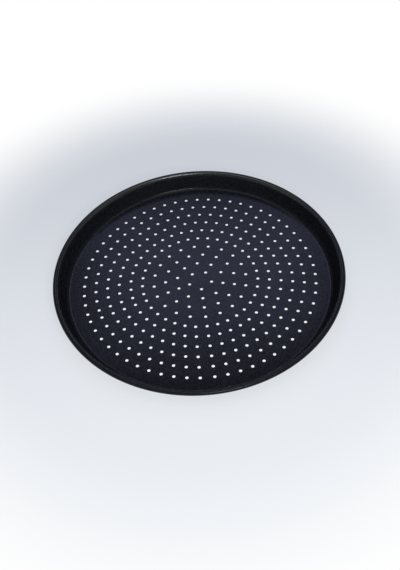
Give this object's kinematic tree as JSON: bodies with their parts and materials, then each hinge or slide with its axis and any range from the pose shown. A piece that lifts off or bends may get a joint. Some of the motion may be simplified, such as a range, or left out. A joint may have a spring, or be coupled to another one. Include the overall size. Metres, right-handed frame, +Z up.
{
  "type": "perforated pizza pan",
  "caption": "Round pizza pan of pressed sheet with rows of punched holes in a flat floor, a short sloped wall and a rim curled round a steel wire.",
  "frame": {"origin": "centre of the underside of the floor", "axes": "+Z up out of the pan along its axis; +X to the right and +Y away from the viewer, as the pan lies in the picture"},
  "size_m": [0.3999, 0.4, 0.0255],
  "materials": {
    "coated_sheet": "dark blue-black non-stick coating, satin with a fine grain",
    "rim_wire": "drawn steel wire"
  },
  "bodies": {
    "root": {"pan_shell": "coated_sheet", "rim_wire": "rim_wire"}
  },
  "joints": []
}
